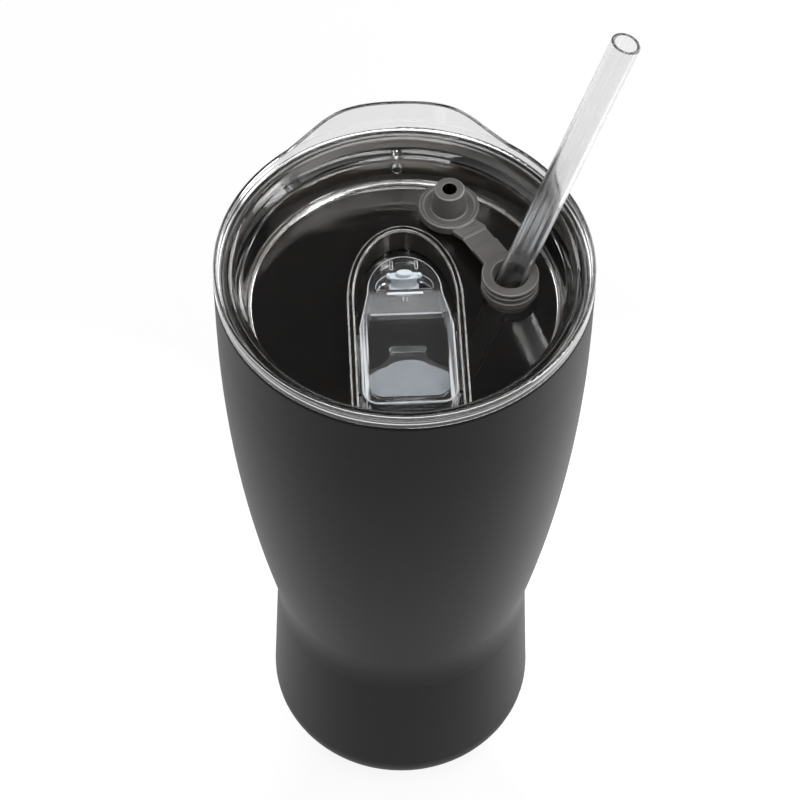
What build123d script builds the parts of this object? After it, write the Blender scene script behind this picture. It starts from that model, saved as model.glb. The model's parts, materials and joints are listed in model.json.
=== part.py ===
"""Insulated travel mug with a clear press-in lid, a slide closure and a leaning straw.

Millimetres, +Z up. The origin is the centre of the foot, on the surface that the mug stands on.
The sip side of the lid faces -Y. Lid pieces are drawn with z = 0 at the plane where the lid
rests on the cup's mouth, and are raised to that plane when they are written.
"""
import os

from build123d import *

# Cup: driving sizes
CUP_HEIGHT = 206.0          # mouth plane above the table
MOUTH_R = 50.1              # outside, straight part below the mouth
FLARE_Z = 190.0             # the upper wall's arc turns vertical here
WAIST_R, WAIST_Z = 36.9, 63.3       # corner where the flare meets the lower wall
WAIST_BLEND = 60.0
BULGE_R = 39.7              # lower wall carried down to the foot plane
FOOT_BLEND = 12.0
SHELL_WALL = 0.6
MOUTH_ROUND = 1.2

# Cup: liner and vacuum space
LINER_MOUTH_R = 47.2
LINER_WAIST_R = 34.4
LINER_FOOT_R = 34.7
LINER_FLOOR_Z = 10.2
LINER_CORNER = 6.0
LINER_WALL = 0.5
FOIL_GAP = 0.25
FOIL_WALL = 0.15

# Cup: base
SHELL_FOOT_Z = 0.8          # underside of the shell's foot, above the pad's face
BASE_OPENING_R = 24.0
BASE_LAND_R = 27.0
BASE_RECESS_Z = 3.4         # height of the recess roof
BASE_WALL = 0.8
SEAL_HOLE_R = 1.5
CAP_WALL = 0.5
GETTER_R, GETTER_H = 4.0, 1.6
GETTER_X = 12.0

# Lid: ring, shoulder and well (z = 0 is the mouth plane)
RING_R = 50.0
RING_WALL = 1.1
RING_TOP = 4.4
LIP_TOP = 11.4              # raised grip at the back
LIP_BEND_X, LIP_BEND_Z = 17.0, 10.5     # the nearly level crest turns down here
LIP_END_X = 35.5
LIP_INSET = 0.02            # the lip is this much thinner than the ring on each side
SHOULDER_R, SHOULDER_Z = 46.8, 1.2
WELL_TOP_R, WELL_TOP_Z = 42.6, -4.0
WELL_R = 41.7
FLOOR_Z = -13.0
FLOOR_WALL = 2.0
PLUG_R = 45.3
PLUG_BOTTOM_Z = -18.5
PLUG_WALL = 1.9

GASKET_Z, GASKET_H = -15.2, 2.6     # middle and height of the groove
GROOVE_DEPTH = 0.9
GASKET_GAP = 0.06           # running gap to the liner

# Lid: housing of the slide
HOUSING_HALF = 15.4
HOUSING_BACK_Y = 19.6
HOUSING_BEND_Y = -5.5       # straight sides turn into the half-ellipse here
HOUSING_WALL = 2.0
HOUSING_TOP = -4.0
HOUSING_ROUND = 0.8         # both top edges of the housing wall
RAIL_DEPTH, RAIL_H, RAIL_Z = 0.8, 1.2, -7.6
SIP_W, SIP_D, SIP_Y = 16.0, 5.4, -29.6
VENT_R, VENT_Y = 1.5, 3.0

# Slide
SLIDE_HALF = 12.4
SLIDE_FRONT_Y, SLIDE_TAPER_Y, SLIDE_BEND_Y, SLIDE_BACK_Y = -37.9, -13.0, -1.5, 10.2
SLIDE_BEND_HALF = 9.9
SLIDE_CORNER = 4.5
SLIDE_TOP, SLIDE_BOTTOM = -5.5, -12.7
PLATE_TOP, PLATE_BOTTOM = -7.6, -9.2
SLIDE_RIM = 2.1
SLIDE_SKIRT = 1.0           # wall around the hollow underneath
FLANGE = 0.8
THUMB_STEP_Y = -9.3
STEP_ROUND = 0.5            # top edge between the thumb block and the finger recess
OPENING_ROUND = 0.25        # top edges of the slot and of the D-shaped opening
SLOT_W, SLOT_D, SLOT_Y = 9.4, 1.6, -19.2
EYE_W, EYE_FRONT_Y, EYE_BACK_Y = 15.0, -0.9, 4.5    # D-shaped opening of the vent seal
EYE_CORNER = 0.8
RIB_W, RIB_GAP = 9.6, 1.7   # thumb rib, and its distance in front of the opening
RIB_THICK = 0.8

# Silicone pieces under the slide
PAD_W, PAD_D, PAD_Y = 22.5, 11.6, -29.2
PAD_EDGE = 0.8              # upright edge of the pad, above its sloping sides
SEAT_W, SEAT_D, SEAT_Y = 18.8, 6.8, -29.4       # foot of the pad, over the sip opening
SWELL_W, SWELL_D = 11.2, 6.0
PAD_BOTTOM = -12.9
BELL_THICK = 0.7            # thin tongue that ties the pad to the slide's slot
NECK_W, NECK_D = 6.8, 2.1
HEAD_W, HEAD_D, HEAD_THICK = 9.4, 2.5, 0.6
KNOB_R, KNOB_H = 2.1, 1.5

# Straw port, tether and plug
PORT_X, PORT_Y = 28.3, 4.2
PORT_R, PORT_TOP = 7.65, -7.0
PORT_NECK_R = 6.2
PORT_MOUTH_R, PORT_THROAT_R = 5.0, 4.15
THROAT_Z = -10.0
PARKED_X, PARKED_Y = 13.5, 29.7
DISC_R, DISC_TOP, DISC_BOTTOM = 8.15, -8.6, -11.9
STUB_R, STUB_TIP_R, STUB_H = 4.9, 4.1, 6.8
STUB_HOLE_R = 2.0
STRAP_W, STRAP_H = 7.5, 1.6
FOLD_L, FOLD_H = 4.6, 0.8

# Straw
STRAW_R, STRAW_BORE_R = 3.8, 2.9
STRAW_LEAN, STRAW_HEADING = 17.6, 13.6      # degrees from upright, and from +X in plan
STRAW_ABOVE, STRAW_BELOW = 88.4, 192.6      # lengths each side of the throat's middle
STRAW_ROUND = 0.3

EPS = 0.05                  # assembly gap between pieces that only rest together
MOUTH = Pos(0, 0, CUP_HEIGHT)


def spin(outline):
    """Solid of revolution about Z of a closed outline drawn in x (radius) and z."""
    face = Plane.XZ * make_face(outline)
    return revolve(face, Axis.Z)


def polygon(*points):
    return Polyline(*points, close=True)


def ring(outer, inner, bottom, top):
    return spin(polygon((inner, bottom), (outer, bottom), (outer, top), (inner, top)))


def disc(radius, bottom, top):
    return Pos(0, 0, bottom) * Cylinder(radius, top - bottom, align=(Align.CENTER, Align.CENTER, Align.MIN))


def slab(outline, bottom, top):
    """Prism of a flat face between two heights."""
    return Pos(0, 0, bottom) * extrude(outline, top - bottom)


def vessel(mouth_r, waist_r, foot_r, bottom, top, waist_blend, foot_blend):
    """Hourglass solid: straight mouth, flared arc, blended waist, near-straight lower wall."""
    mouth = Line((mouth_r, top), (mouth_r, FLARE_Z))
    flare = TangentArc((mouth_r, FLARE_Z), (waist_r, WAIST_Z), tangent=(0, -1))
    lower = Polyline((waist_r, WAIST_Z), (foot_r, bottom), (0, bottom), (0, top), (mouth_r, top))
    face = make_face(Curve() + [mouth, flare, lower])
    waist = [v for v in face.vertices() if abs(v.Y - WAIST_Z) < EPS]
    face = fillet(waist, waist_blend)
    foot = [v for v in face.vertices() if abs(v.Y - bottom) < EPS and v.X > waist_r / 2]
    face = fillet(foot, foot_blend)
    return revolve(Plane.XZ * face, Axis.Z)


# ---------------------------------------------------------------- cup

def outer_shell():
    outside = vessel(MOUTH_R, WAIST_R, BULGE_R, SHELL_FOOT_Z, CUP_HEIGHT, WAIST_BLEND, FOOT_BLEND)
    mouth_edge = outside.edges().filter_by(GeomType.CIRCLE).sort_by(Axis.Z)[-1]
    outside = fillet(mouth_edge, MOUTH_ROUND)
    inside = vessel(MOUTH_R - SHELL_WALL, WAIST_R - SHELL_WALL, BULGE_R - SHELL_WALL,
                    SHELL_FOOT_Z + SHELL_WALL, CUP_HEIGHT - SHELL_WALL,
                    WAIST_BLEND + SHELL_WALL, FOOT_BLEND - SHELL_WALL)
    mouth_hole = disc(LINER_MOUTH_R + LINER_WALL + EPS, FLARE_Z, CUP_HEIGHT + 1)
    base_hole = disc(BASE_OPENING_R, 0, FOOT_BLEND)
    return outside - inside - mouth_hole - base_hole


def liner_form(inset, top):
    return vessel(LINER_MOUTH_R - inset, LINER_WAIST_R - inset, LINER_FOOT_R - inset,
                  LINER_FLOOR_Z + inset, top, WAIST_BLEND + inset, LINER_CORNER - inset)


def inner_liner():
    return liner_form(-LINER_WALL, CUP_HEIGHT) - liner_form(0, CUP_HEIGHT)


def reflective_foil():
    """Foil wrap around the liner, in the vacuum space, stopping short of the mouth."""
    inner = -LINER_WALL - FOIL_GAP
    top = FLARE_Z + 6
    return liner_form(inner - FOIL_WALL, top) - liner_form(inner, top)


def base_disc():
    """Pressed disc welded over the shell's foot opening, with a recess below and the seal hole."""
    land = SHELL_FOOT_Z + SHELL_WALL
    step = BASE_OPENING_R - EPS
    return spin(polygon((SEAL_HOLE_R, BASE_RECESS_Z), (step - BASE_WALL, BASE_RECESS_Z),
                        (step - BASE_WALL, land), (BASE_LAND_R, land),
                        (BASE_LAND_R, land + BASE_WALL), (step, land + BASE_WALL),
                        (step, BASE_RECESS_Z + BASE_WALL), (SEAL_HOLE_R, BASE_RECESS_Z + BASE_WALL)))


def vacuum_seal():
    """Bead that closes the hole the air was drawn out through."""
    roof = BASE_RECESS_Z + BASE_WALL
    shaft = disc(SEAL_HOLE_R - EPS / 2, BASE_RECESS_Z, roof + EPS)
    dome = Pos(0, 0, roof) * Sphere(SEAL_HOLE_R * 1.6)
    return shaft + (dome & disc(2 * SEAL_HOLE_R, roof + EPS, roof + 1.2))


def getter():
    seat = BASE_RECESS_Z + BASE_WALL + CAP_WALL
    return Pos(GETTER_X, 0, 0) * disc(GETTER_R, seat, seat + GETTER_H)


def getter_holder():
    """Shallow cup that keeps the getter on the base disc."""
    seat = BASE_RECESS_Z + BASE_WALL
    wall_r = GETTER_R + EPS
    cup = ring(wall_r + CAP_WALL, wall_r, seat, seat + CAP_WALL + GETTER_H / 2)
    floor = disc(wall_r, seat, seat + CAP_WALL)
    return Pos(GETTER_X, 0, 0) * (cup + floor)


def base_cap():
    """Thin plate over the seal, in the recess."""
    rim_r = BASE_OPENING_R - BASE_WALL - 2 * EPS
    return disc(rim_r, BASE_RECESS_Z - CAP_WALL - EPS, BASE_RECESS_Z - EPS)


def foot_pad():
    """Soft disc that the mug stands on, with a rounded lower edge."""
    rim_r = BASE_OPENING_R - BASE_WALL - 2 * EPS
    pad = disc(rim_r, 0, BASE_RECESS_Z - CAP_WALL - EPS)
    return fillet(pad.edges().sort_by(Axis.Z)[0], 0.5)


# ---------------------------------------------------------------- lid

def lid_section():
    """Half section of ring, shoulder, well wall and floor, anticlockwise from the axis."""
    ring_in = RING_R - RING_WALL
    well_in = WELL_R - 1.2
    under = FLOOR_Z - FLOOR_WALL
    outline = Curve() + [
        Polyline((0, under), (PLUG_R - PLUG_WALL, under), (PLUG_R - PLUG_WALL, PLUG_BOTTOM_Z),
                 (PLUG_R - 0.6, PLUG_BOTTOM_Z), (PLUG_R, PLUG_BOTTOM_Z + 0.6), (PLUG_R, -2.0),
                 (SHOULDER_R - 0.2, EPS), (RING_R, EPS), (RING_R, RING_TOP - RING_WALL / 2)),
        ThreePointArc((RING_R, RING_TOP - RING_WALL / 2), (RING_R - RING_WALL / 2, RING_TOP),
                      (ring_in, RING_TOP - RING_WALL / 2)),
        Line((ring_in, RING_TOP - RING_WALL / 2), (ring_in - 0.2, SHOULDER_Z + 0.9)),
        RadiusArc((ring_in - 0.2, SHOULDER_Z + 0.9), (ring_in - 1.1, SHOULDER_Z), 0.95),
        Line((ring_in - 1.1, SHOULDER_Z), (SHOULDER_R, SHOULDER_Z)),
        Spline((SHOULDER_R, SHOULDER_Z), (WELL_TOP_R + 1.6, -1.2), (WELL_TOP_R, WELL_TOP_Z),
               tangents=[(-1, 0), (-0.15, -1)]),
        Line((WELL_TOP_R, WELL_TOP_Z), (WELL_R, FLOOR_Z + 1.2)),
        RadiusArc((WELL_R, FLOOR_Z + 1.2), (well_in, FLOOR_Z), -1.2),
        Polyline((well_in, FLOOR_Z), (0, FLOOR_Z), (0, under)),
    ]
    return outline


def raised_lip():
    """Band of the ring that rises at the back as a grip, with an S-curve at each end."""
    start = RING_TOP - 0.8
    rise = Spline((LIP_END_X, start), (LIP_BEND_X, LIP_BEND_Z), (0, LIP_TOP), tangents=[(-1, 0), (-1, 0)])
    fall = mirror(rise, Plane.YZ)
    foot = Polyline((-LIP_END_X, start), (-LIP_END_X, SHOULDER_Z), (LIP_END_X, SHOULDER_Z),
                    (LIP_END_X, start))
    silhouette = Plane.XZ * make_face(Curve() + [rise, fall, foot])
    screen = extrude(silhouette, -RING_R)
    band = ring(RING_R - LIP_INSET, RING_R - RING_WALL + LIP_INSET, SHOULDER_Z, LIP_TOP + 1)
    lip = screen & band
    crest = lip.edges().filter_by(lambda e: e.center().Z > RING_TOP + 1)
    return fillet(crest, 0.35 * RING_WALL)


def housing_outline(inset):
    half = HOUSING_HALF - inset
    rear = HOUSING_BACK_Y - HOUSING_BEND_Y - inset
    straight = Pos(0, HOUSING_BEND_Y) * Rectangle(2 * half, RING_R, align=(Align.CENTER, Align.MAX))
    arch = Pos(0, HOUSING_BEND_Y) * Ellipse(half, rear)
    return straight + arch


def slide_housing():
    """U-shaped wall on the floor, open to the well wall at the front, with a rail on each side."""
    wall = slab(housing_outline(0) - housing_outline(HOUSING_WALL), FLOOR_Z - EPS, HOUSING_TOP)
    top_edges = wall.edges().filter_by(lambda e: abs(e.center().Z - HOUSING_TOP) < EPS)
    wall = fillet(top_edges, HOUSING_ROUND)
    inner = HOUSING_HALF - HOUSING_WALL
    rail = Box(RAIL_DEPTH + EPS, 26, RAIL_H)
    rails = [Pos(side * (inner - (RAIL_DEPTH - EPS) / 2), HOUSING_BEND_Y - 15, RAIL_Z) * rail
             for side in (-1, 1)]
    return (wall + rails) & disc(WELL_TOP_R, FLOOR_Z - 1, 0)


def gate_mark():
    """Small round moulding mark on the back of the well wall."""
    return Pos(0, WELL_R, -7.0) * Rot(90, 0, 0) * Cylinder(1.4, 1.4)


def lid_body():
    body = spin(lid_section()) + raised_lip() + slide_housing() + gate_mark()
    groove = ring(PLUG_R + 1, PLUG_R - GROOVE_DEPTH, GASKET_Z - GASKET_H / 2, GASKET_Z + GASKET_H / 2)
    under = FLOOR_Z - FLOOR_WALL - 1
    above = FLOOR_Z + 1
    sip = slab(Pos(0, SIP_Y) * SlotOverall(SIP_W, SIP_D), under, above)
    vent = Pos(0, VENT_Y) * disc(VENT_R, under, above)
    port = Pos(PORT_X, PORT_Y) * disc(PORT_NECK_R, under, above)
    return body - groove - sip - vent - port


def lid_gasket():
    """Silicone ring with two soft ribs that reach for the liner."""
    inner = PLUG_R - GROOVE_DEPTH + EPS
    half = GASKET_H / 2 - EPS
    reach = LINER_MOUTH_R - GASKET_GAP
    base = PLUG_R + 0.4
    return spin(polygon((inner, GASKET_Z - half), (base, GASKET_Z - half), (reach, GASKET_Z - 0.75),
                        (base + 0.3, GASKET_Z), (reach, GASKET_Z + 0.75), (base, GASKET_Z + half),
                        (inner, GASKET_Z + half)))


# ---------------------------------------------------------------- slide

def slide_outline(inset):
    half = SLIDE_HALF - inset
    bend = SLIDE_BEND_HALF - inset
    front = SLIDE_FRONT_Y + inset
    side = Polyline((-bend, SLIDE_BEND_Y), (-half, SLIDE_TAPER_Y), (-half, front), (half, front),
                    (half, SLIDE_TAPER_Y), (bend, SLIDE_BEND_Y), (-bend, SLIDE_BEND_Y))
    face = make_face(side)
    front_corners = [v for v in face.vertices() if abs(v.Y - front) < EPS]
    face = fillet(front_corners, SLIDE_CORNER - 0.6 * inset)
    arch = Pos(0, SLIDE_BEND_Y) * Ellipse(bend, SLIDE_BACK_Y - SLIDE_BEND_Y - inset)
    return face + arch


def slide_eye():
    """D-shaped opening for the vent seal: straight in front, arched behind."""
    arch = Pos(0, EYE_FRONT_Y + EYE_CORNER) * Ellipse(EYE_W / 2, EYE_BACK_Y - EYE_FRONT_Y - EYE_CORNER)
    front = Pos(0, EYE_FRONT_Y) * Rectangle(EYE_W, RING_R, align=(Align.CENTER, Align.MIN))
    face = arch & front
    corners = [v for v in face.vertices() if v.Y < EYE_FRONT_Y + EPS]
    return fillet(corners, EYE_CORNER / 2)


def slide():
    """Clear tongue: a rimmed finger recess in front, a raised thumb block behind."""
    body = slab(slide_outline(0), SLIDE_BOTTOM, SLIDE_TOP)
    top_edges = body.edges().filter_by(lambda e: abs(e.center().Z - SLIDE_TOP) < EPS)
    body = fillet(top_edges, 0.6)
    recess_end = Pos(0, THUMB_STEP_Y) * Rectangle(2 * RING_R, RING_R, align=(Align.CENTER, Align.MAX))
    recess = slab(slide_outline(SLIDE_RIM) & recess_end, PLATE_TOP, 0)
    hollow = slab(slide_outline(SLIDE_SKIRT), SLIDE_BOTTOM - 1, PLATE_BOTTOM)
    slot = slab(Pos(0, SLOT_Y) * SlotOverall(SLOT_W, SLOT_D), PLATE_BOTTOM - 1, 0)
    eye = slab(slide_eye(), PLATE_BOTTOM - 1, 0)
    flange = Box(FLANGE + EPS, SLIDE_TAPER_Y - SLIDE_FRONT_Y - SLIDE_CORNER, 3.2)
    flange_y = (SLIDE_TAPER_Y + SLIDE_FRONT_Y + SLIDE_CORNER) / 2
    flanges = [Pos(side * (SLIDE_HALF + (FLANGE - EPS) / 2), flange_y, SLIDE_BOTTOM + 1.6) * flange
               for side in (-1, 1)]
    body = body - recess - hollow - slot - eye + flanges
    step = [e for e in body.edges() if abs(e.center().Y - THUMB_STEP_Y) < EPS
            and abs(e.center().Z - SLIDE_TOP) < EPS]
    body = fillet(step, STEP_ROUND)
    eye_edges = [e for e in body.edges() if abs(e.center().Z - SLIDE_TOP) < EPS
                 and abs(e.center().X) < EYE_W / 2 and EYE_FRONT_Y - EPS < e.center().Y < EYE_BACK_Y + EPS]
    slot_edges = [e for e in body.edges() if abs(e.center().Z - PLATE_TOP) < EPS
                  and abs(e.center().X) < SLOT_W / 2 and abs(e.center().Y - SLOT_Y) < SLOT_D / 2 + EPS]
    return fillet(eye_edges + slot_edges, OPENING_ROUND) + thumb_ribs() + clip_arms()


def thumb_ribs():
    """Long rib in front of the vent seal, with a pair of short ones before it."""
    rib_y = EYE_FRONT_Y - RIB_GAP
    rib = Pos(0, rib_y, SLIDE_TOP) * Box(RIB_W, RIB_THICK, RIB_THICK)
    rib = fillet(rib.edges().group_by(Axis.Z)[-1], 0.3)
    ticks = [Pos(side * 0.5, rib_y - 1.9, SLIDE_TOP) * Box(0.4, 1.2, 0.4) for side in (-1, 1)]
    return [rib] + ticks


def clip_arms():
    """Two upright arms behind the vent seal's head."""
    arm = Box(0.9, 3.0, 2.4)
    arm = fillet(arm.edges().group_by(Axis.Z)[-1], 0.3)
    back = EYE_BACK_Y + 1.0
    return [Pos(side * 3.3, back, SLIDE_TOP + 0.9) * arm for side in (-1, 1)]


def sip_seal():
    """Silicone pad with a thin bell-shaped tongue, held by a tab through the slide's slot."""
    top = PLATE_BOTTOM - EPS
    edge_bottom = top - PAD_EDGE
    face = Pos(0, PAD_Y) * Ellipse(PAD_W / 2, PAD_D / 2)
    seat = Pos(0, SEAT_Y, PAD_BOTTOM) * Ellipse(SEAT_W / 2, SEAT_D / 2)
    pad = slab(face, edge_bottom, top) + loft([seat, Pos(0, 0, edge_bottom) * face])
    swell = slab(Pos(0, PAD_Y + PAD_D / 2 - 1.6) * Ellipse(SWELL_W / 2, SWELL_D / 2), top - 1.4, top)
    neck = SLOT_W / 2 - 2 * EPS
    hem = PAD_W / 2 - 0.7
    hem_y = PAD_Y + 4.2
    flare = Spline((neck, SLOT_Y), (neck + 1.5, SLOT_Y - 3.2), (hem, hem_y), tangents=[(0, -1), (1, -0.35)])
    side = Line((hem, hem_y), (hem, PAD_Y))
    bell_edge = Curve() + [flare, side, mirror(flare, Plane.YZ), mirror(side, Plane.YZ),
                           Line((-neck, SLOT_Y), (neck, SLOT_Y)), Line((-hem, PAD_Y), (hem, PAD_Y))]
    bell = slab(make_face(bell_edge), top - BELL_THICK, top)
    hole = Pos(0, SLOT_Y) * SlotOverall(SLOT_W - 4 * EPS, SLOT_D - 4 * EPS)
    tab = slab(hole, top - BELL_THICK, PLATE_TOP + 0.3)
    return pad + swell + bell + tab


def vent_seal():
    """Silicone plug over the vent hole: a broad foot, a flat neck, an oval head and a small knob."""
    foot_top = PLATE_BOTTOM - EPS
    head_top = SLIDE_TOP + HEAD_THICK + EPS
    foot = slab(Ellipse(NECK_W / 2 + 0.6, NECK_D), PAD_BOTTOM, foot_top)
    neck = slab(Ellipse(NECK_W / 2, NECK_D / 2), foot_top, head_top - HEAD_THICK)
    head = slab(Ellipse(HEAD_W / 2, HEAD_D / 2), head_top - HEAD_THICK, head_top)
    curls = [Pos(side * (HEAD_W / 2 - 0.7), 0) * disc(0.5, head_top - HEAD_THICK, head_top + 0.6)
             for side in (-1, 1)]
    knob = slab(Ellipse(KNOB_R, NECK_D / 2), head_top, head_top + KNOB_H)
    knob = fillet(knob.edges().sort_by(Axis.Z)[-1], 0.4)
    return Pos(0, VENT_Y) * (foot + neck + head + curls + knob)


# ---------------------------------------------------------------- straw port, tether and plug

STRAP_LENGTH = ((PARKED_X - PORT_X) ** 2 + (PARKED_Y - PORT_Y) ** 2) ** 0.5
STRAP_PLANE = Plane(origin=(PORT_X, PORT_Y, 0), x_dir=(PARKED_X - PORT_X, PARKED_Y - PORT_Y, 0),
                    z_dir=(PORT_Y - PARKED_Y, PARKED_X - PORT_X, 0))
FOLD_U = STRAP_LENGTH / 2
STRAP_TOP = PORT_TOP - 0.2
FOLD_TOP = STRAP_TOP - (STRAP_H - FOLD_H)


def strap(*points):
    """Strip of strap from a side outline in (distance from the port, height)."""
    side = STRAP_PLANE * make_face(polygon(*[(u, -z) for u, z in points]))
    return extrude(side, STRAP_W / 2, both=True)


def straw_port():
    """Grommet with stacked rings above the floor, a neck through it and a flange below."""
    under = FLOOR_Z - FLOOR_WALL
    neck = PORT_NECK_R - EPS
    mouth_low = under - 2.0
    sleeve = spin(polygon(
        (PORT_THROAT_R, THROAT_Z), (PORT_MOUTH_R, PORT_TOP), (PORT_R - 0.3, PORT_TOP),
        (PORT_R, PORT_TOP - 0.3), (PORT_R, -8.1), (PORT_R - 0.9, -8.2), (PORT_R - 0.9, -8.8),
        (PORT_R, -8.9), (PORT_R, -9.7), (PORT_R - 1.1, -9.9), (PORT_R - 1.1, -10.9),
        (PORT_R - 0.1, -11.1), (PORT_R + 0.1, FLOOR_Z + EPS), (neck, FLOOR_Z + EPS),
        (neck, under - EPS), (PORT_R - 0.7, under - EPS), (PORT_R - 1.2, mouth_low),
        (PORT_MOUTH_R + 1.4, mouth_low)))
    sleeve = Pos(PORT_X, PORT_Y, 0) * sleeve
    half = strap((PORT_R - 1.5, STRAP_TOP), (FOLD_U - FOLD_L / 2, STRAP_TOP),
                 (FOLD_U - FOLD_L / 2, FOLD_TOP), (FOLD_U, FOLD_TOP), (FOLD_U, FOLD_TOP - FOLD_H),
                 (PORT_R - 1.5, FOLD_TOP - FOLD_H))
    return sleeve + half


def port_plug():
    """Parked plug, stub upwards, with its half of the strap sloping down from the fold."""
    disc = Pos(PARKED_X, PARKED_Y, 0) * spin(polygon(
        (0, DISC_BOTTOM), (DISC_R - 0.7, DISC_BOTTOM), (DISC_R, DISC_BOTTOM + 0.7), (DISC_R, DISC_TOP - 0.3),
        (DISC_R - 0.3, DISC_TOP), (DISC_R - 1.0, DISC_TOP), (DISC_R - 1.4, DISC_TOP - 0.5),
        (STUB_R, DISC_TOP - 0.5), (STUB_R, DISC_TOP + 1.6), (STUB_TIP_R, DISC_TOP + STUB_H - 0.3),
        (STUB_TIP_R - 0.3, DISC_TOP + STUB_H), (STUB_HOLE_R, DISC_TOP + STUB_H),
        (STUB_HOLE_R, DISC_TOP + 1.0), (0, DISC_TOP + 1.0)))
    end = STRAP_LENGTH - DISC_R + 1.2
    low = DISC_BOTTOM + 0.4
    half = strap((FOLD_U, FOLD_TOP), (FOLD_U + FOLD_L / 2, FOLD_TOP), (FOLD_U + FOLD_L / 2, STRAP_TOP),
                 (end, low + STRAP_H), (end, low), (FOLD_U + FOLD_L / 2, FOLD_TOP - FOLD_H),
                 (FOLD_U, FOLD_TOP - FOLD_H))
    return disc + half


# ---------------------------------------------------------------- straw

def straw():
    """Straight tube that leans in the port and rests in the liner's lower corner."""
    tube = Pos(0, 0, -STRAW_BELOW) * extrude(Circle(STRAW_R) - Circle(STRAW_BORE_R),
                                             STRAW_ABOVE + STRAW_BELOW)
    tube = fillet(tube.edges().filter_by(GeomType.CIRCLE), STRAW_ROUND)
    lean = Pos(PORT_X, PORT_Y, THROAT_Z) * Rot(0, 0, STRAW_HEADING) * Rot(0, STRAW_LEAN, 0)
    return lean * tube


CUP_PARTS = [outer_shell, inner_liner, reflective_foil, base_disc, vacuum_seal, getter, getter_holder,
             base_cap, foot_pad]
LID_PARTS = [lid_body, lid_gasket, slide, sip_seal, vent_seal, straw_port, port_plug, straw]


def main():
    os.makedirs("parts", exist_ok=True)
    for place, makers in ((Pos(), CUP_PARTS), (MOUTH, LID_PARTS)):
        for make in makers:
            export_step(place * make(), f"parts/{make.__name__}.step")


main()
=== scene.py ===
"""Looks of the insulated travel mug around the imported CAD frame. Metres, +Z up, sip side towards -Y."""
import json
from math import cos, radians, sin

import bpy
from mathutils import Euler, Matrix, Vector


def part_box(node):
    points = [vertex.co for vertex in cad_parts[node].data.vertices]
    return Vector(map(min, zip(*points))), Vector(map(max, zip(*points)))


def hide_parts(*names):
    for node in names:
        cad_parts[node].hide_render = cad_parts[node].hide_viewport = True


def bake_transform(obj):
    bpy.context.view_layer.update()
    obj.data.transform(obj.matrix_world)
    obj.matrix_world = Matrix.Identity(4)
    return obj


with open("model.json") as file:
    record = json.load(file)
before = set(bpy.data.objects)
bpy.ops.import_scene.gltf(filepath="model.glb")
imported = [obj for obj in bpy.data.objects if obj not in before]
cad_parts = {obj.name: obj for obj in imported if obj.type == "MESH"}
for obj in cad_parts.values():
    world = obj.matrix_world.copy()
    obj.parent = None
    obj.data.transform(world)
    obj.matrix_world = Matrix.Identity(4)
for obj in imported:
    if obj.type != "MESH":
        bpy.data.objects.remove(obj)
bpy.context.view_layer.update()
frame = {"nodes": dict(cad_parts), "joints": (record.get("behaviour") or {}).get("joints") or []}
nodes = frame["nodes"]
joints = {joint["name"]: joint for joint in frame["joints"]}

MM = 0.001
mouth_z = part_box("outer_shell")[1].z

# Places on the lid that a material follows. Heights are over the mouth, where the lid rests.
HOUSING_TOP = -4.0 * MM
RING_BAND = 2.0 * MM            # the ring's band of painted edge highlight starts here
SLIDE_TOP = -5.5 * MM
THUMB_STEP_Y = -9.3 * MM        # step between the slide's finger recess and its thumb block
THUMB_RIB_Y = -2.6 * MM
RECESS_HALF = 10.3 * MM
PAD_DEPTH = 11.6 * MM
SWELL_INSET = 1.6 * MM          # from the pad's back edge in to the middle of its swell
SWELL_HALF_W, SWELL_HALF_D = 5.6 * MM, 3.0 * MM
PLUG_AXIS = Vector((13.5, 29.7)) * MM       # middle of the parked plug, in plan
BORE_R = 2.3 * MM               # just over the radius of the plug's bore

# ------------------------------------------------------------------ node helpers


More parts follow.
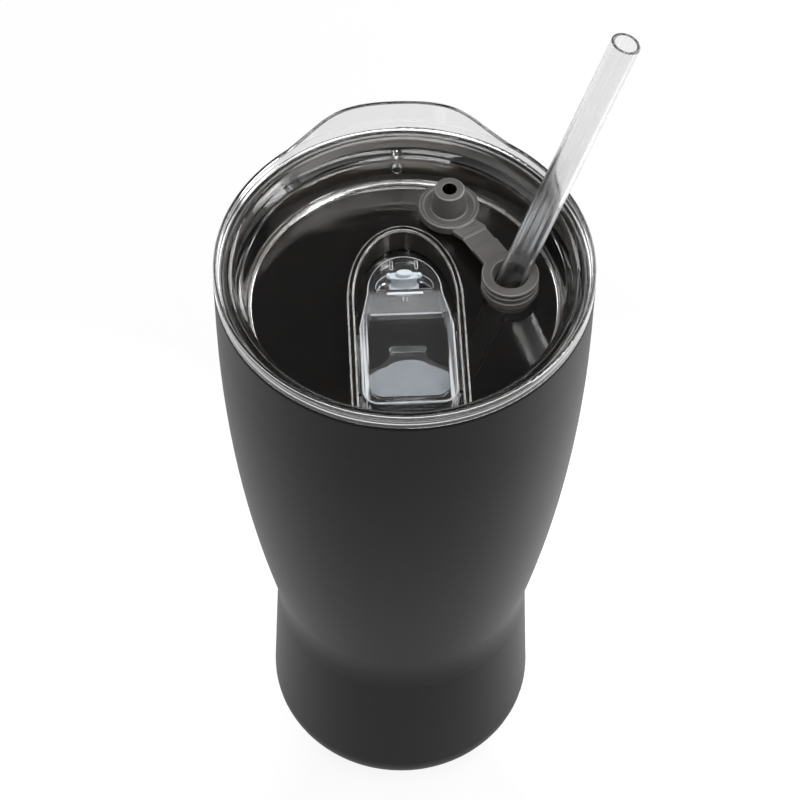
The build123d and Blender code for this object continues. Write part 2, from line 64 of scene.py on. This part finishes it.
class Shader:
    """A material under construction: its nodes, links and Principled shader."""

    def __init__(self, name, **values):
        self.material = bpy.data.materials.new(name)
        self.material.use_nodes = True
        self.tree = self.material.node_tree
        self.bsdf = self.tree.nodes["Principled BSDF"]
        self.output = self.tree.nodes["Material Output"]
        self.coord = self.tree.nodes.new("ShaderNodeTexCoord").outputs["Object"]
        for socket, value in values.items():
            self.bsdf.inputs[socket.replace("_", " ")].default_value = value

    def link(self, source, target):
        self.tree.links.new(source, target)

    def node(self, kind, inputs=None, **settings):
        made = self.tree.nodes.new("ShaderNode" + kind)
        for name, value in settings.items():
            setattr(made, name, value)
        for name, value in (inputs or {}).items():
            if isinstance(value, bpy.types.NodeSocket):
                self.link(value, made.inputs[name])
            else:
                made.inputs[name].default_value = value
        return made

    def stretched(self, x, y, z, vector=None):
        """Coordinates scaled along each axis."""
        return self.node("Mapping", {"Vector": vector or self.coord, "Scale": (x, y, z)}).outputs["Vector"]

    def noise(self, scale, detail=3.0, roughness=0.5, vector=None):
        made = self.node("TexNoise", {"Vector": vector or self.coord, "Scale": scale, "Detail": detail,
                                      "Roughness": roughness})
        return made.outputs["Fac"]

    def spread(self, value, low, high, start=0.3, end=0.7):
        """Maps a value between start and end to the range low to high."""
        made = self.node("MapRange", {"Value": value, "From Min": start, "From Max": end,
                                      "To Min": low, "To Max": high})
        return made.outputs["Result"]

    def clouded(self, pattern, first, second):
        """Colour that drifts between two shades with a noise pattern."""
        return self.mixed(self.spread(pattern, 0, 1), first, second)

    def mixed(self, factor, first, second):
        """Mixes two colours, of which the first can be another node's output."""
        made = self.node("Mix", {"Factor": factor}, data_type="RGBA")
        if isinstance(first, bpy.types.NodeSocket):
            self.link(first, made.inputs["A"])
        else:
            made.inputs["A"].default_value = (*first, 1)
        made.inputs["B"].default_value = (*second, 1)
        return made.outputs["Result"]

    def math(self, operation, first, second=0.0):
        return self.node("Math", {0: first, 1: second}, operation=operation).outputs[0]

    def product(self, first, second):
        return self.math("MULTIPLY", first, second)

    def larger(self, first, second):
        return self.math("MAXIMUM", first, second)

    def absolute(self, value):
        return self.math("ABSOLUTE", value)

    def axis(self, vector, name):
        return self.node("SeparateXYZ", {"Vector": vector}).outputs[name]

    def place(self, name):
        """Object coordinate along one axis."""
        return self.axis(self.coord, name)

    def rounding(self, low=0.25, high=0.95, edge=0.08):
        """1 where the surface turns between flat and upright: rims, shoulders and rounded edges."""
        normal = self.coord.node.outputs["Normal"]
        tilt = self.absolute(self.axis(normal, "Z"))
        return self.product(self.spread(tilt, 0, 1, low, low + edge),
                            self.spread(tilt, 1, 0, high - edge, high))

    def outside(self, middle_y, half_w, half_d):
        """0 inside an upright ellipse on the middle plane, 1 outside it."""
        across = self.node("Mapping", {"Vector": self.coord, "Location": (0, -middle_y / half_d, 0),
                                       "Scale": (1 / half_w, 1 / half_d, 0)}).outputs["Vector"]
        reach = self.node("VectorMath", {0: across}, operation="LENGTH").outputs["Value"]
        return self.spread(reach, 0, 1, 1.0, 1.04)

    def blended(self, share, other):
        """Sends a mix of the Principled shader and a share of another one to the surface."""
        blend = self.node("MixShader", {0: share, 1: self.bsdf.outputs["BSDF"], 2: other.outputs[0]})
        self.link(blend.outputs["Shader"], self.output.inputs["Surface"])
        return self.material

    def hazed(self, share, colour):
        """Mixes a share of matt scatter into the surface."""
        return self.blended(share, self.node("BsdfDiffuse", {"Color": (*colour, 1), "Roughness": 1.0}))

    def bump(self, height, distance, strength=1.0, below=None):
        inputs = {"Height": height, "Distance": distance, "Strength": strength}
        if below is not None:
            inputs["Normal"] = below
        return self.node("Bump", inputs).outputs["Normal"]

    def set(self, **sources):
        for socket, source in sources.items():
            self.link(source, self.bsdf.inputs[socket.replace("_", " ")])
        return self.material


# ------------------------------------------------------------------ materials

def powder_coat():
    """Matt black coat with fine orange peel, faint clouding and a rougher grain."""
    s = Shader("powder_coat", Specular_IOR_Level=0.11)
    peel = s.noise(2600, 2)
    grain = s.noise(9000, 2)
    colour = s.clouded(s.noise(28, 3), (0.0044, 0.0042, 0.0042), (0.0060, 0.0058, 0.0058))
    normal = s.bump(grain, 0.00002, 0.5, below=s.bump(peel, 0.00006, 0.6))
    return s.set(Base_Color=colour, Roughness=s.spread(grain, 0.38, 0.50), Normal=normal)


def turned_steel(name):
    """Stainless with fine rings around the axis: the material, and the pattern of its rings."""
    s = Shader(name, Metallic=1.0)
    rings = s.noise(60, 2, vector=s.stretched(2, 2, 160))
    s.set(Normal=s.bump(rings, 0.00003, 0.4))
    return s, rings


def brushed_steel():
    """Satin steel of the pressed pieces in the base."""
    s, rings = turned_steel("brushed_steel")
    colour = s.clouded(s.noise(40, 2), (0.50, 0.49, 0.48), (0.58, 0.57, 0.56))
    return s.set(Base_Color=colour, Roughness=s.spread(rings, 0.22, 0.42))


def liner_steel():
    """Inside wall: bright at the mouth, with painted shade making it darker down the cavity."""
    s, rings = turned_steel("liner_steel")
    # Painted shade: 1 to 6 mm below the mouth the wall fades to a warm dark grey.
    out_of_painted_shade = s.spread(s.place("Z"), 0, 1, mouth_z - 6 * MM, mouth_z - 1 * MM)
    colour = s.mixed(out_of_painted_shade, (0.29, 0.235, 0.190), (0.55, 0.54, 0.53))
    return s.set(Base_Color=colour, Roughness=s.spread(rings, 0.34, 0.52))


def clear_plastic(name):
    """Clear moulded plastic: faint flow waves, rubbed patches and hairline handling marks."""
    s = Shader(name, Transmission_Weight=1.0, IOR=1.56, Base_Color=(0.885, 0.885, 0.885, 1))
    flow = s.noise(45, 1)
    rub = s.noise(350, 4)
    marks = s.noise(120, 2, vector=s.stretched(1, 14, 1))
    normal = s.bump(marks, 0.00002, 0.25, below=s.bump(flow, 0.0004, 0.10))
    s.set(Roughness=s.spread(rub, 0.0, 0.04), Normal=normal)
    return s


def lid_plastic():
    """The lid's clear plastic: rounded edges of well, housing and ring hazed slightly matt as a painted
    highlight.
    """
    s = clear_plastic("lid_plastic")
    z = s.place("Z")
    housing = mouth_z + HOUSING_TOP
    ring = mouth_z + RING_BAND
    edges = s.larger(s.spread(z, 1, 0, housing, housing + 0.5 * MM),
                     s.spread(z, 0, 0.35, ring, ring + 1 * MM))
    highlight_patches = s.spread(s.noise(420, 3), 0.10, 0.30)
    # Painted highlight: a patchy matt haze on the rounded edges stands in for the light they catch.
    edge_highlight = s.product(s.product(s.rounding(), highlight_patches), edges)
    faint = 0.0035
    return s.hazed(s.larger(edge_highlight, faint), (0.86, 0.84, 0.82))


def slide_plastic():
    """The slide's clear plastic: frosted thumb block, painted streaky highlights on the sides, painted
    highlights on rounded edges, and a rubbed step and rib.
    """
    s = clear_plastic("slide_plastic")
    y = s.place("Y")
    block = s.product(s.spread(y, 0, 1, THUMB_STEP_Y + 0.1 * MM, THUMB_STEP_Y + 0.4 * MM),
                      s.spread(y, 1, 0, THUMB_RIB_Y, THUMB_RIB_Y + 1.4 * MM))
    mist = s.spread(s.noise(160, 3), 0.11, 0.17)
    flank = s.spread(s.absolute(s.place("X")), 0, 1, RECESS_HALF - 0.2 * MM, RECESS_HALF + 0.2 * MM)
    # Painted highlight: hazed streaks on the sides stand in for light carried inside the clear walls.
    streak_highlight = s.spread(s.noise(1.0, 1, vector=s.stretched(1900, 35, 300)), 0.02, 0.60, 0.46, 0.56)
    top = mouth_z + SLIDE_TOP
    raised = s.spread(s.place("Z"), 0, 0.75, top + 0.1 * MM, top + 0.3 * MM)
    front_of_eye = s.spread(y, 1, 0, THUMB_RIB_Y + 0.6 * MM, THUMB_RIB_Y + 0.7 * MM)
    # Painted highlight: matt haze on the rounded edges.
    edge_highlight = s.product(s.rounding(), s.spread(s.noise(300, 2), 0.35, 0.60))
    frost_and_highlight = s.larger(s.product(block, mist), s.product(flank, streak_highlight))
    worn_and_highlight = s.larger(edge_highlight, s.product(raised, front_of_eye))
    faint = 0.015
    return s.hazed(s.larger(s.larger(frost_and_highlight, worn_and_highlight), faint), (0.80, 0.81, 0.83))


def straw_plastic():
    """Slightly cloudy straw with lengthwise draw lines, scuffed where it slides through the port."""
    s = clear_plastic("straw_plastic")
    lean = Vector(joints["straw_pull"]["axis"]).to_track_quat("Z", "Y")
    upright = s.node("VectorRotate", {"Vector": s.coord, "Rotation": lean.inverted().to_euler()},
                     rotation_type="EULER_XYZ").outputs["Vector"]
    draw = s.noise(1.0, 2, vector=s.stretched(900, 900, 12, upright))
    scuffs = s.noise(260, 4)
    z = s.place("Z")
    gripped = s.product(s.spread(z, 0, 1, mouth_z + 1 * MM, mouth_z + 8 * MM),
                        s.spread(z, 1, 0, mouth_z + 14 * MM, mouth_z + 24 * MM))
    wisps = s.product(gripped, s.spread(draw, 0.0, 0.55, 0.49, 0.60))
    share = s.larger(wisps, s.spread(draw, 0.004, 0.07, 0.47, 0.68))
    white = {"Color": (0.80, 0.81, 0.83, 1)}
    through = s.node("BsdfTranslucent", white).outputs["BSDF"]
    back = s.node("BsdfDiffuse", white).outputs["BSDF"]
    s.blended(share, s.node("MixShader", {0: 0.5, 1: through, 2: back}))
    return s.set(Roughness=s.spread(scuffs, 0.04, 0.14), Normal=s.bump(draw, 0.00004, 0.35))


def milky_silicone():
    """Bluish silicone with a soft satin skin: milky in the thick pad and plug, clear in the thin tongue."""
    s = Shader("milky_silicone", IOR=1.41)
    skin = s.noise(5200, 2)
    front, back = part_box("sip_seal")
    pad_y = front.y + PAD_DEPTH / 2
    swell_y = pad_y + PAD_DEPTH / 2 - SWELL_INSET
    around = s.product(s.outside(pad_y, back.x, PAD_DEPTH / 2),
                       s.outside(swell_y, SWELL_HALF_W, SWELL_HALF_D))
    vent_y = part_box("vent_seal")[0].y
    clear = s.product(around, s.spread(s.place("Y"), 1, 0, vent_y - 1 * MM, vent_y))
    milky = s.clouded(s.noise(260, 3), (0.60, 0.66, 0.72), (0.68, 0.73, 0.78))
    return s.set(Base_Color=s.mixed(clear, milky, (0.93, 0.93, 0.93)),
                 Roughness=s.spread(skin, 0.26, 0.38),
                 Normal=s.bump(skin, 0.00002, 0.4),
                 Transmission_Weight=s.spread(clear, 0.18, 0.99, 0, 1))


def grey_silicone():
    """Warm grey silicone: fine moulded grain, faint bloom, painted highlights on its rounded edges and
    painted shade in the bore.
    """
    s = Shader("grey_silicone", Sheen_Roughness=0.4)
    grain = s.noise(6500, 3)
    skin = s.clouded(s.noise(180, 4), (0.076, 0.071, 0.068), (0.092, 0.086, 0.082))
    # Painted highlight: rounded edges lightened towards a pale grey.
    edges = s.product(s.rounding(0.3, 0.93), 0.55)
    edge_highlight = s.mixed(edges, skin, (0.30, 0.29, 0.28))
    bore_shade = s.node("Attribute", attribute_name="bore_shade").outputs["Fac"]
    # Painted shade: deep in the bore the colour goes near black while specular and sheen fade out.
    return s.set(Base_Color=s.mixed(bore_shade, edge_highlight, (0.0015, 0.0013, 0.0013)),
                 Roughness=s.spread(grain, 0.38, 0.52),
                 Specular_IOR_Level=s.spread(bore_shade, 0.5, 0, 0, 1),
                 Sheen_Weight=s.spread(bore_shade, 0.12, 0, 0, 1),
                 Normal=s.bump(grain, 0.00003, 0.5))


def dark_silicone():
    """Charcoal gasket silicone, slightly glossier where it rubs."""
    s = Shader("dark_silicone")
    bands = s.noise(900, 3)
    return s.set(Base_Color=s.clouded(bands, (0.10, 0.10, 0.10), (0.14, 0.14, 0.14)),
                 Roughness=s.spread(bands, 0.35, 0.5),
                 Normal=s.bump(bands, 0.00003, 0.4))


def foil():
    """Bright crumpled foil."""
    s = Shader("foil", Metallic=1.0)
    creases = s.noise(220, 6, 0.7)
    return s.set(Base_Color=s.clouded(creases, (0.74, 0.74, 0.75), (0.86, 0.86, 0.87)),
                 Roughness=s.spread(creases, 0.12, 0.3),
                 Normal=s.bump(creases, 0.0002, 0.8))


def foot_rubber():
    """Matt rubber with a fine stipple and dusty patches."""
    s = Shader("foot_rubber")
    stipple = s.noise(3200, 3)
    dust = s.noise(90, 4)
    return s.set(Base_Color=s.clouded(dust, (0.022, 0.022, 0.022), (0.045, 0.044, 0.043)),
                 Roughness=s.spread(stipple, 0.7, 0.9),
                 Normal=s.bump(stipple, 0.0001, 0.7))


def seal_bead():
    """Dark fused solder glass."""
    s = Shader("seal_bead", IOR=1.6)
    swirl = s.noise(1800, 4)
    return s.set(Base_Color=s.clouded(swirl, (0.05, 0.05, 0.055), (0.12, 0.12, 0.13)),
                 Roughness=s.spread(swirl, 0.1, 0.25))


def dress(piece, material):
    piece.data.materials.clear()
    piece.data.materials.append(material)


def paint_nodes():
    """Gives every carried-over CAD node its material."""
    steel = brushed_steel()
    milky = milky_silicone()
    plan = {
        "outer_shell": powder_coat(), "inner_liner": liner_steel(), "reflective_foil": foil(),
        "base_disc": steel, "vacuum_seal": seal_bead(), "getter": steel, "getter_holder": steel,
        "base_cap": steel, "foot_pad": foot_rubber(), "lid_body": lid_plastic(),
        "lid_gasket": dark_silicone(), "slide": slide_plastic(), "sip_seal": milky,
        "vent_seal": milky, "straw": straw_plastic(),
    }
    for name, material in plan.items():
        dress(nodes[name], material)


# ------------------------------------------------------------------ pieces

def copy_of(name):
    made = nodes[name].copy()
    made.data = nodes[name].data.copy()
    made.parent = None
    for key in list(made.keys()):
        del made[key]
    bpy.context.scene.collection.objects.link(made)
    return made


def apply_modifiers(piece):
    graph = bpy.context.evaluated_depsgraph_get()
    mesh = bpy.data.meshes.new_from_object(piece.evaluated_get(graph))
    piece.modifiers.clear()
    piece.data = mesh


def mark_bore_shade(mesh, start=0.1 * MM, fade=0.3 * MM):
    """Stores how deep each point lies in the plug's bore, 0 at the rim and 1 below start + fade, as the
    mask of painted shade there.
    """
    rim_z = max(vertex.co.z for vertex in mesh.vertices)
    bore_shade = mesh.attributes.new("bore_shade", "FLOAT", "POINT")
    for vertex, mark in zip(mesh.vertices, bore_shade.data):
        inside = (vertex.co.xy - PLUG_AXIS).length < BORE_R
        deep = (rim_z - start - vertex.co.z) / fade
        mark.value = min(max(deep, 0), 1) if inside else 0


def tether_moulding(voxel=0.2 * MM):
    """Port, strap and plug as the one soft-edged silicone moulding that they are."""
    port, plug = copy_of("straw_port"), copy_of("port_plug")
    with bpy.context.temp_override(active_object=port, selected_editable_objects=[port, plug]):
        bpy.ops.object.join()
    port.name = "tether_moulding"
    remesh = port.modifiers.new("remesh", "REMESH")
    remesh.mode = "VOXEL"
    remesh.voxel_size = voxel
    soften = port.modifiers.new("soften", "SMOOTH")
    soften.factor = 0.5
    soften.iterations = 3
    thin = port.modifiers.new("thin", "DECIMATE")
    thin.ratio = 0.35
    apply_modifiers(port)
    port.data.shade_smooth()
    mark_bore_shade(port.data)
    dress(port, grey_silicone())
    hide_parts("straw_port", "port_plug")
    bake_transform(port)
    return port


# ------------------------------------------------------------------ studio

FLOOR_Z = -0.1 * MM             # clear of the foot pad's face
TABLE_GLOW = 0.90
POOL_X, POOL_Y = 0.13, 0.03     # brighter pools beside the mug light its edges
POOL_NEAR, POOL_FAR = 0.04, 0.12
POOL_GAINS = {-1: 0.25, 1: 0.70}

# Softboxes that face the middle of the cup: place, width, height, watts
SOFTBOXES = {
    "softbox_left": ((-0.85, 0.75, 0.65), 0.6, 0.9, 6),
    "softbox_right": ((0.85, 0.70, 0.65), 0.6, 0.9, 8),
    "softbox_side": ((1.05, -0.15, 0.45), 0.5, 0.8, 9),
    "softbox_top": ((0.10, -0.32, 1.45), 1.5, 0.9, 21),
}


def floor_paint():
    """Opal acrylic of a light table: pale, matt, lit from below, with a brighter pool on each side."""
    s = Shader("floor_paint", Specular_IOR_Level=0.1, Emission_Color=(1, 1, 1, 1))
    cloud = s.noise(3, 2)
    glow = TABLE_GLOW
    for side, gain in POOL_GAINS.items():
        around = s.node("VectorMath", {0: s.coord, 1: (side * POOL_X, POOL_Y, 0)}, operation="DISTANCE")
        pool = s.spread(around.outputs["Value"], gain, 0, POOL_NEAR, POOL_FAR)
        glow = s.math("ADD", pool, glow)
    return s.set(Base_Color=s.clouded(cloud, (0.055, 0.055, 0.055), (0.065, 0.065, 0.065)),
                 Roughness=s.spread(cloud, 0.85, 0.9),
                 Emission_Strength=glow)


def add_floor(half=3.0):
    mesh = bpy.data.meshes.new("floor")
    corners = [(-half, -half, FLOOR_Z), (half, -half, FLOOR_Z), (half, half, FLOOR_Z),
               (-half, half, FLOOR_Z)]
    mesh.from_pydata(corners, [], [(0, 1, 2, 3)])
    floor = bpy.data.objects.new("floor", mesh)
    bpy.context.scene.collection.objects.link(floor)
    mesh.materials.append(floor_paint())


def add_softbox(name, place, width, height, power):
    light = bpy.data.lights.new(name, "AREA")
    light.shape = "RECTANGLE"
    light.size = width
    light.size_y = height
    light.energy = power
    lamp = bpy.data.objects.new(name, light)
    lamp.location = place
    middle = Vector((0, 0, mouth_z / 2))
    lamp.rotation_euler = (middle - Vector(place)).to_track_quat("-Z", "Y").to_euler()
    bpy.context.scene.collection.objects.link(lamp)


def add_world(dim=0.05, left=0.95, right=1.5, low=0.08, high=0.40):
    """Dark studio above, with pale walls near the horizon, brighter towards +X."""
    world = bpy.data.worlds.new("studio")
    bpy.context.scene.world = world
    world.use_nodes = True
    tree = world.node_tree
    coord = tree.nodes.new("ShaderNodeTexCoord")
    split = tree.nodes.new("ShaderNodeSeparateXYZ")
    fade = tree.nodes.new("ShaderNodeMapRange")
    fade.interpolation_type = "SMOOTHSTEP"
    fade.inputs["From Min"].default_value = low
    fade.inputs["From Max"].default_value = high
    fade.inputs["To Max"].default_value = dim
    sideways = tree.nodes.new("ShaderNodeMapRange")
    sideways.inputs["From Min"].default_value = -1
    sideways.inputs["To Min"].default_value = left
    sideways.inputs["To Max"].default_value = right
    tree.links.new(coord.outputs["Generated"], split.inputs["Vector"])
    tree.links.new(split.outputs["Z"], fade.inputs["Value"])
    tree.links.new(split.outputs["X"], sideways.inputs["Value"])
    tree.links.new(sideways.outputs["Result"], fade.inputs["To Min"])
    tree.links.new(fade.outputs["Result"], tree.nodes["Background"].inputs["Strength"])
    tree.nodes["Background"].inputs["Color"].default_value = (1, 1, 1, 1)


def add_lights():
    add_world()
    for name, (place, width, height, power) in SOFTBOXES.items():
        add_softbox(name, place, width, height, power)


def add_camera():
    """Camera that looks down over the sip side, orbiting the middle of the lid's rim."""
    distance = 793.7 * MM       # from the rim's middle
    above = radians(51.68)      # how high the camera stands, seen from there
    heading = radians(3.2)      # how far it stands towards -X from straight in front
    pitch = radians(54.08)      # how far it looks down
    roll = 0.0103
    camera = bpy.data.objects.new("camera", bpy.data.cameras.new("camera"))
    back = Vector((-sin(heading), -cos(heading), 0))
    rise = Vector((0, 0, mouth_z + distance * sin(above)))
    camera.location = back * distance * cos(above) + rise
    level = Euler((radians(90) - pitch, 0, -heading)).to_matrix()
    camera.rotation_euler = (level @ Matrix.Rotation(roll, 3, "Z")).to_euler()
    camera.data.lens = 136.35
    camera.data.sensor_width = 36
    camera.data.shift_x = -0.0041
    camera.data.clip_start = 0.01
    bpy.context.scene.collection.objects.link(camera)
    bpy.context.scene.camera = camera


bpy.context.scene.view_settings.view_transform = "Standard"
paint_nodes()
tether_moulding()
add_floor()
add_lights()
add_camera()
